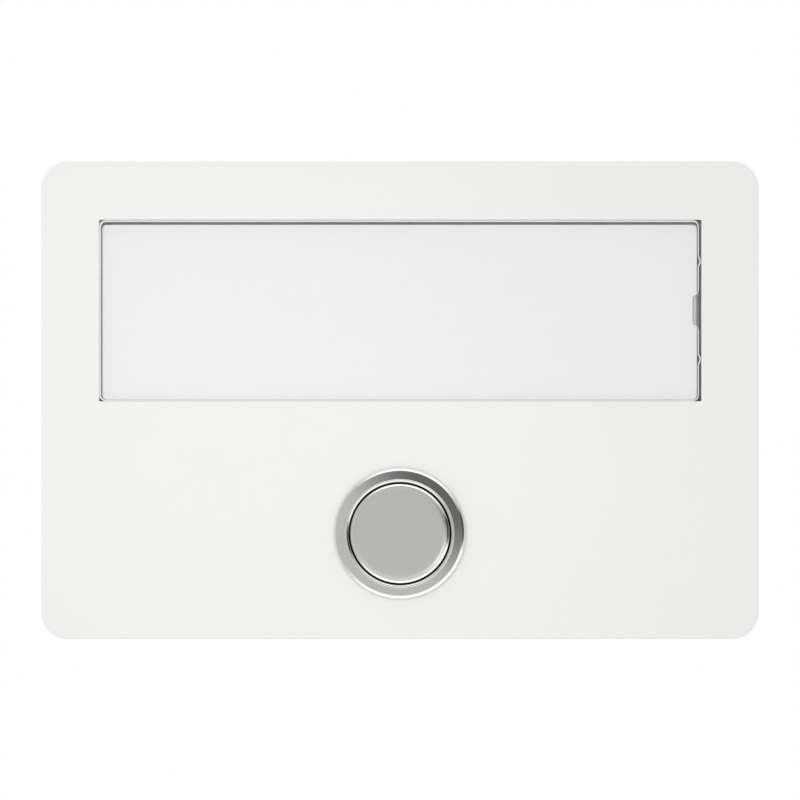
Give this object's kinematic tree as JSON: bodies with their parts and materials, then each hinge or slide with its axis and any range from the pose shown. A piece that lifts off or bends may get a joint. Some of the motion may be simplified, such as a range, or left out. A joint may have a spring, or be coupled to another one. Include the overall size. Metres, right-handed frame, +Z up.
{
  "type": "wall-mounted doorbell push",
  "caption": "Flat rectangular wall-mounted doorbell push with a clear-covered name plate window and a round steel push button on a shallow wall base.",
  "frame": {"origin": "middle of the back of the wall base, on the wall plane", "axes": "+X to the viewer's right, +Z up, +Y into the wall; the front faces -Y"},
  "size_m": [0.12, 0.027, 0.08],
  "materials": {
    "powder_coat": "satin white powder coat",
    "base_plastic": "fine moulded texture",
    "tray_plastic": "moulded satin",
    "clear_cover": "clear polished plastic",
    "label_card": "plain white card",
    "polished_steel": "polished stainless steel",
    "brushed_steel": "fine-brushed stainless steel",
    "zinc_steel": "zinc plated",
    "spring_steel": "bright drawn wire",
    "brass": "bright",
    "black_rubber": "matt",
    "foam_seal": "closed-cell foam",
    "switch_plastic": "moulded satin",
    "stem_plastic": "natural acetal"
  },
  "bodies": {
    "housing": {"wall_base": "base_plastic", "cable_grommet": "black_rubber", "face_gasket": "foam_seal", "threaded_insert_left": "brass", "threaded_insert_right": "brass", "face_plate": "powder_coat", "name_tray": "tray_plastic", "tray_seal": "foam_seal", "lower_hook_left": "zinc_steel", "lower_hook_right": "zinc_steel", "face_screw_left": "zinc_steel", "face_screw_right": "zinc_steel", "weld_stud_upper_left": "zinc_steel", "weld_stud_lower_left": "zinc_steel", "weld_stud_upper_right": "zinc_steel", "weld_stud_lower_right": "zinc_steel", "stud_nut_upper_left": "zinc_steel", "stud_nut_lower_left": "zinc_steel", "stud_nut_upper_right": "zinc_steel", "stud_nut_lower_right": "zinc_steel", "button_housing": "polished_steel", "flange_seal": "black_rubber", "lock_washer": "zinc_steel", "lock_nut": "zinc_steel", "switch_base": "switch_plastic", "fixed_contact_left": "brass", "fixed_contact_right": "brass", "terminal_washer_left": "zinc_steel", "terminal_washer_right": "zinc_steel", "terminal_screw_left": "zinc_steel", "terminal_screw_right": "zinc_steel", "return_spring": "spring_steel"},
    "button": {"button_cap": "brushed_steel", "plunger": "stem_plastic", "stem_seal": "black_rubber", "retaining_clip": "spring_steel", "contact_spring": "spring_steel"},
    "moving_contact": {"contact_bridge": "brass"},
    "name_window": {"name_cover": "clear_cover", "name_label": "label_card"}
  },
  "joints": [
    {"name": "button_press", "type": "slide", "parent": "housing", "child": "button", "axis": [0, 1, 0], "range_m": [0, 0.0015], "stiffness_N_per_m": 700, "springref_m": -0.0035, "deforming": ["return_spring", "contact_spring"]},
    {"name": "contact_travel", "type": "slide", "parent": "housing", "child": "moving_contact", "axis": [0, 1, 0], "range_m": [0, 0.0012]},
    {"name": "cover_pull", "type": "slide", "parent": "housing", "child": "name_window", "axis": [0, -1, 0], "range_m": [0, 0.015]}
  ],
  "couplings": [
    {"joint": "contact_travel", "follows": "button_press", "ratio": 0.8}
  ]
}
